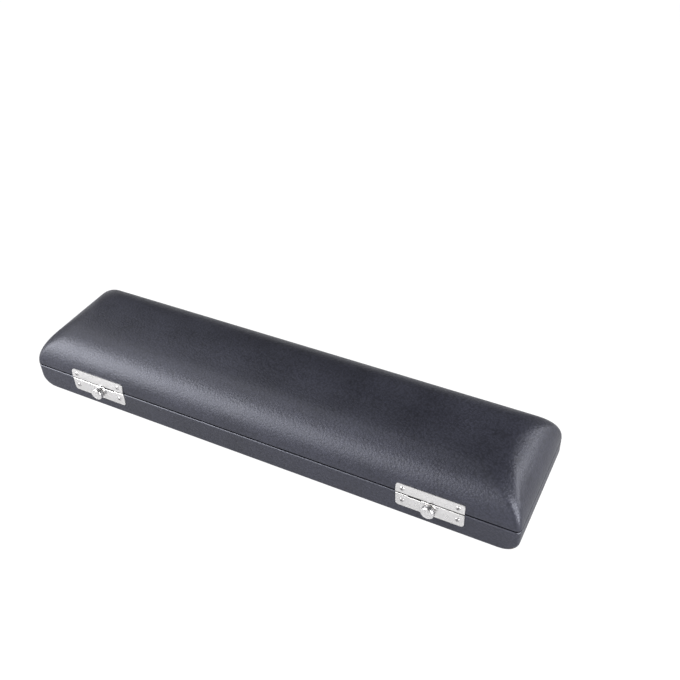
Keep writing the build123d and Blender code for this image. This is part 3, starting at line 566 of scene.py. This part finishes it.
def knob(side):
    """Turned knob: shank, skirt in a darker, rougher metal as painted shade, bevelled rim and a shallow
    dished face.
    """
    low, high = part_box(f"latch_knob_{side}")
    radius = (high.x - low.x) / 2
    centre = Vector(((low.x + high.x) / 2, 0, (low.z + high.z) / 2))
    seat = FACE - PLATE_T
    height = seat - low.y
    back = high.y - seat
    shank = 1.2 * MM
    profile = [(0, -back), (shank, -back), (shank, 0), (radius - 0.5 * MM, 0), (radius - 0.15 * MM, 0.1 * MM),
               (radius, 0.4 * MM), (radius, height - 0.75 * MM), (radius - 0.1 * MM, height - 0.4 * MM),
               (radius - 0.35 * MM, height - 0.12 * MM), (radius - 0.7 * MM, height),
               (radius - 0.95 * MM, height - 0.03 * MM), (radius - 1.2 * MM, height - 0.2 * MM),
               (1.2 * MM, height - 0.42 * MM), (0.6 * MM, height - 0.44 * MM), (0, height - 0.44 * MM)]
    piece = lathe(f"knob_{side}", profile, 72, TURNED)
    piece.data.materials.append(SHADED_SKIRT)
    # painted shade: the skirt's side faces get a darker copy of the knob's metal
    for face in piece.data.polygons:
        if abs(face.normal.z) < 0.3 and 0 < face.center.z < height - 0.7 * MM:
            face.material_index = 1
    place = Matrix.Translation((centre.x, seat, centre.z))
    piece.data.transform(place @ Matrix.Rotation(math.pi / 2, 4, "X"))
    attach(piece, f"{side}_latch")
    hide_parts(f"latch_knob_{side}")


def islands(mesh):
    """The separate solids of a mesh, each as a list of its vertices' places."""
    bm = bmesh.new()
    bm.from_mesh(mesh)
    bmesh.ops.remove_doubles(bm, verts=bm.verts, dist=1e-6)
    left = set(bm.verts)
    groups = []
    while left:
        stack = [left.pop()]
        group = []
        while stack:
            vertex = stack.pop()
            group.append(vertex.co.copy())
            for edge in vertex.link_edges:
                other = edge.other_vert(vertex)
                if other in left:
                    left.remove(other)
                    stack.append(other)
        groups.append(group)
    bm.free()
    return sorted(groups, key=lambda g: sum(p.x for p in g) / len(g))


def screw_head(radius, height, turn):
    """Raised head with a cross recess, its seat at z = 0, turned by an angle."""
    slot_w, slot_r, depth = 0.2 * radius, 0.62 * radius, 0.3 * MM
    # shares of the radius and of the height, from the middle out
    rings = [(0.16, 0.995), (0.3, 0.985), (0.45, 0.95), (0.62, 0.9), (0.78, 0.78), (0.9, 0.6), (0.97, 0.36),
             (1.0, 0.1), (1.0, -0.2)]
    points, faces = [], []
    segments = 48
    for share, lift in rings:
        for k in range(segments):
            angle = 2 * math.pi * k / segments
            points.append([radius * share * math.cos(angle), radius * share * math.sin(angle), height * lift])
    top = len(points)
    points.append([0, 0, height])
    for k in range(segments):
        n = (k + 1) % segments
        faces.append((top, k, n))
        for row in range(len(rings) - 1):
            a, b = row * segments, (row + 1) * segments
            faces.append((a + k, b + k, b + n, a + n))
    head = bpy.data.meshes.new("head")
    head.from_pydata(points, [], faces)
    bars = bmesh.new()
    for size in ((2 * slot_r, slot_w, 2 * depth), (slot_w, 2 * slot_r, 2 * depth)):
        bmesh.ops.create_cube(bars, size=1, matrix=Matrix.Translation((0, 0, height + 0.2 * depth))
                              @ Matrix.Diagonal((*size, 1)))
    cross = bpy.data.meshes.new("cross")
    bars.to_mesh(cross)
    bars.free()
    body = bpy.data.objects.new("head", head)
    tool = bpy.data.objects.new("cross", cross)
    for item in (body, tool):
        bpy.context.scene.collection.objects.link(item)
    bm = bmesh.new()
    bm.from_mesh(head)
    rim = [e for e in bm.edges if e.is_boundary]
    bmesh.ops.contextual_create(bm, geom=rim)
    bmesh.ops.recalc_face_normals(bm, faces=bm.faces)
    bm.to_mesh(head)
    bm.free()
    cut = body.modifiers.new("cross", "BOOLEAN")
    cut.operation = "DIFFERENCE"
    cut.solver = "EXACT"
    cut.use_self = True
    cut.object = tool
    apply_modifiers(body)
    mesh = body.data
    # painted shade: the faces inside the cross recess get a near-black material
    for face in mesh.polygons:
        middle = face.center
        if 0 < middle.z < height - 0.12 * MM and middle.xy.length < 1.05 * slot_r:
            face.material_index = 1
    mesh.transform(Matrix.Rotation(turn, 4, "Z"))
    bpy.data.objects.remove(body)
    bpy.data.objects.remove(tool)
    return mesh


def screws(node, body, turns):
    """Cross-head screws in the places of a group of plain ones."""
    merged = bmesh.new()
    for group, turn in zip(islands(nodes[node].data), turns):
        centre = sum(group, Vector()) / len(group)
        # the shank's end is the farthest point from the middle; the head is the wide end
        far = max(group, key=lambda p: (p - centre).length)
        narrow = [p for p in group if (p - far).length < 1.8 * MM]
        tip = sum(narrow, Vector()) / len(narrow)
        wide = [p for p in group if (p - tip).length > 4.0 * MM]
        head = sum(wide, Vector()) / len(wide)
        out = (head - tip).normalized()
        seat = tip + out * SHANK_LEN
        mesh = screw_head(SCREW_HEAD_R, SCREW_HEAD_H, turn)
        shank = bmesh.new()
        bmesh.ops.create_cone(shank, cap_ends=True, segments=20, radius1=SHANK_R, radius2=SHANK_R,
                              depth=SHANK_LEN - 0.2 * MM,
                              matrix=Matrix.Translation((0, 0, -SHANK_LEN / 2)))
        shank.from_mesh(mesh)
        place = out.to_track_quat("Z", "X").to_matrix().to_4x4()
        place.translation = seat
        bmesh.ops.transform(shank, matrix=place, verts=shank.verts)
        part = bpy.data.meshes.new("screw")
        shank.to_mesh(part)
        shank.free()
        merged.from_mesh(part)
    final = bpy.data.meshes.new(node + "_cross_head")
    merged.to_mesh(final)
    merged.free()
    piece = bpy.data.objects.new(node + "_cross_head", final)
    bpy.context.scene.collection.objects.link(piece)
    final.materials.append(SCREW)
    final.materials.append(RECESS)
    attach(piece, body)
    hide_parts(node)


for side in SIDES:
    knob(side)
screws("latch_base_screws", "base", (0.3, 1.1, 0.75, 0.15))
screws("latch_lid_screws", "lid", (0.9, 0.2, 0.5, 1.2))
screws("hinge_base_screws", "base", (0.4, 0.1, 1.0, 0.6))
screws("hinge_lid_screws", "lid", (0.7, 1.3, 0.25, 0.5))


# ---------------------------------------------------------------- plush
UNEVEN = 0.18 * MM           # how far the plush rises and sinks
UNEVEN_SCALE = 55.0


def soft_copy(node, body, voxel, rounds):
    """Rounded plush piece made from a plain block: remeshed, smoothed, and very slightly uneven."""
    source = nodes[node]
    piece = bpy.data.objects.new(node + "_plush", source.data.copy())
    bpy.context.scene.collection.objects.link(piece)
    piece.data.materials.clear()
    piece.data.materials.append(PLUSH)
    remesh = piece.modifiers.new("remesh", "REMESH")
    remesh.mode = "VOXEL"
    remesh.voxel_size = voxel
    smooth = piece.modifiers.new("smooth", "SMOOTH")
    smooth.factor = 0.5
    smooth.iterations = rounds
    apply_modifiers(piece)
    moves = [v.normal * (UNEVEN * noise.noise(v.co * UNEVEN_SCALE)) for v in piece.data.vertices]
    for vertex, move in zip(piece.data.vertices, moves):
        vertex.co += move
    for polygon in piece.data.polygons:
        polygon.use_smooth = True
    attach(piece, body)
    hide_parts(node)


for node in ("body_block_left", "body_block_right", "head_block_left", "head_foot_block", "foot_block_right"):
    soft_copy(node, "base", 0.8 * MM, 6)
soft_copy("centre_divider", "base", 0.9 * MM, 5)
soft_copy("base_floor_pad", "base", 1.0 * MM, 3)
for node in ("lid_pad_left", "lid_pad_middle", "lid_pad_right"):
    soft_copy(node, "lid", 0.8 * MM, 8)


# ---------------------------------------------------------------- finishes of the frame's own solids
def finish_node(name, mat):
    """Gives a frame solid its material."""
    item = nodes[name]
    item.data.materials.clear()
    item.data.materials.append(mat)


for name in nodes:
    if "shell" in name:
        finish_node(name, WOOD)
    elif name in ("base_cover", "lid_cover"):
        finish_node(name, CLOTH)
    elif name == "base_underside":
        finish_node(name, UNDERSIDE)
    elif "plate" in name:
        finish_node(name, LATCH_PLATE)
    elif "leaf" in name:
        finish_node(name, PLATE)
    elif "knob" in name or "screws" in name:
        finish_node(name, TURNED)
    elif "latch" in name or "hinge" in name:
        finish_node(name, STEEL)
    else:
        finish_node(name, PLUSH)


# ---------------------------------------------------------------- stage, light, camera
TABLE_HALF = 6


def mirrored_ray(tree, path):
    """1 for glossy and transmission rays, which show the background too."""
    either = add_node(tree, "ShaderNodeMath", operation="MAXIMUM")
    tree.links.new(path.outputs["Is Glossy Ray"], either.inputs[0])
    tree.links.new(path.outputs["Is Transmission Ray"], either.inputs[1])
    return either.outputs[0]


def floor():
    """Plain white table. Only the object's shadow tells it from the background."""
    points = [(x * TABLE_HALF, y * TABLE_HALF, -0.1 * MM) for x, y in ((-1, -1), (1, -1), (1, 1), (-1, 1))]
    mat = bpy.data.materials.new("table")
    mat.use_nodes = True
    tree = mat.node_tree
    tree.nodes.clear()
    link = tree.links.new
    path = add_node(tree, "ShaderNodeLightPath")
    less = add_node(tree, "ShaderNodeMath", operation="MULTIPLY")
    less.inputs[1].default_value = 0.25
    link(mirrored_ray(tree, path), less.inputs[0])
    share = add_node(tree, "ShaderNodeMath", operation="MULTIPLY_ADD")
    share.inputs[1].default_value = 0.85
    link(path.outputs["Is Camera Ray"], share.inputs[0])
    link(less.outputs[0], share.inputs[2])
    plain = add_node(tree, "ShaderNodeBsdfDiffuse", Color=(0.42, 0.42, 0.43, 1))
    bright = add_node(tree, "ShaderNodeEmission", Color=(1, 1, 1, 1), Strength=1.14)
    mixed = add_node(tree, "ShaderNodeMixShader")
    link(share.outputs[0], mixed.inputs["Fac"])
    link(plain.outputs[0], mixed.inputs[1])
    link(bright.outputs[0], mixed.inputs[2])
    out = add_node(tree, "ShaderNodeOutputMaterial")
    link(mixed.outputs[0], out.inputs["Surface"])
    make_object("table_top", points, [(0, 1, 2, 3)], mat, False)


def world():
    """White near the horizon, dim overhead; rays that only light the object get a plain grey."""
    made = bpy.data.worlds.new("studio")
    bpy.context.scene.world = made
    made.use_nodes = True
    tree = made.node_tree
    tree.nodes.clear()
    link = tree.links.new
    path = add_node(tree, "ShaderNodeLightPath")
    place = add_node(tree, "ShaderNodeTexCoord")
    parts = add_node(tree, "ShaderNodeSeparateXYZ")
    link(place.outputs["Generated"], parts.inputs[0])
    fade = ramp(tree, parts.outputs["Z"], ((0.0, 0.6), (0.3, 0.08)))
    lit = add_node(tree, "ShaderNodeBackground", Color=(0.93, 0.95, 1.0, 1), Strength=0.3)
    mirrored = add_node(tree, "ShaderNodeBackground", Strength=1.0)
    link(fade.outputs["Color"], mirrored.inputs["Color"])
    white = add_node(tree, "ShaderNodeBackground", Color=(1, 1, 1, 1), Strength=1.0)
    first = add_node(tree, "ShaderNodeMixShader")
    link(mirrored_ray(tree, path), first.inputs["Fac"])
    link(lit.outputs[0], first.inputs[1])
    link(mirrored.outputs[0], first.inputs[2])
    second = add_node(tree, "ShaderNodeMixShader")
    link(path.outputs["Is Camera Ray"], second.inputs["Fac"])
    link(first.outputs[0], second.inputs[1])
    link(white.outputs[0], second.inputs[2])
    out = add_node(tree, "ShaderNodeOutputWorld")
    link(second.outputs[0], out.inputs["Surface"])


def softbox(name, place, target, size, radiance):
    """Area light of a given brightness, whatever its size."""
    light = bpy.data.lights.new(name, "AREA")
    light.shape = "RECTANGLE"
    light.size, light.size_y = size
    light.energy = radiance * math.pi * size[0] * size[1]
    lamp = bpy.data.objects.new(name, light)
    lamp.visible_camera = False
    lamp.location = place
    lamp.rotation_euler = (Vector(target) - Vector(place)).to_track_quat("-Z", "Y").to_euler()
    bpy.context.scene.collection.objects.link(lamp)


CAMERA_PLACE = (0.272214, -0.410106, 0.464558)
CAMERA_AZIMUTH, CAMERA_ELEVATION, CAMERA_ROLL = 28.4300, 38.4935, -2.3190      # degrees
CAMERA_LENS = 46.2645        # mm, for a sensor 36 mm wide


def camera():
    """Camera at the photograph's place and angle, slightly rolled."""
    azimuth, elevation, roll = (math.radians(v) for v in (CAMERA_AZIMUTH, CAMERA_ELEVATION, CAMERA_ROLL))
    back = Vector((math.sin(azimuth) * math.cos(elevation), -math.cos(azimuth) * math.cos(elevation),
                   math.sin(elevation)))
    right = (-back).cross(Vector((0, 0, 1))).normalized()
    up = right.cross(-back)
    turned_right = math.cos(roll) * right + math.sin(roll) * up
    turned_up = -math.sin(roll) * right + math.cos(roll) * up
    made = bpy.data.cameras.new("camera")
    made.lens, made.sensor_width = CAMERA_LENS, 36
    made.clip_start = 0.01
    seat = bpy.data.objects.new("camera", made)
    turn = Matrix((turned_right, turned_up, back)).transposed().to_4x4()
    turn.translation = CAMERA_PLACE
    seat.matrix_world = turn
    bpy.context.scene.collection.objects.link(seat)
    bpy.context.scene.camera = seat


floor()
world()
softbox("key", (-0.6, -0.84, 0.5), (-0.12, -0.04, 0.03), (1.0, 0.8), 6.4)
softbox("left", (-0.8, -0.45, 0.4), (-0.15, -0.04, 0.03), (0.5, 0.5), 7.5)
softbox("side", (0.85, 0.4, 0.42), (0.15, 0, 0.03), (0.7, 0.4), 7.2)
softbox("low", (0.95, -0.36, 0.2), (0.18, -0.04, 0.03), (0.28, 0.24), 36)
softbox("ridge", (0.82, -0.36, 0.65), (0.18, -0.04, 0.03), (0.32, 0.32), 26)
softbox("top", (-0.9, 0, 1.1), (-0.1, 0, 0), (1.4, 1.4), 2)
camera()
bpy.context.scene.view_settings.view_transform = "Standard"
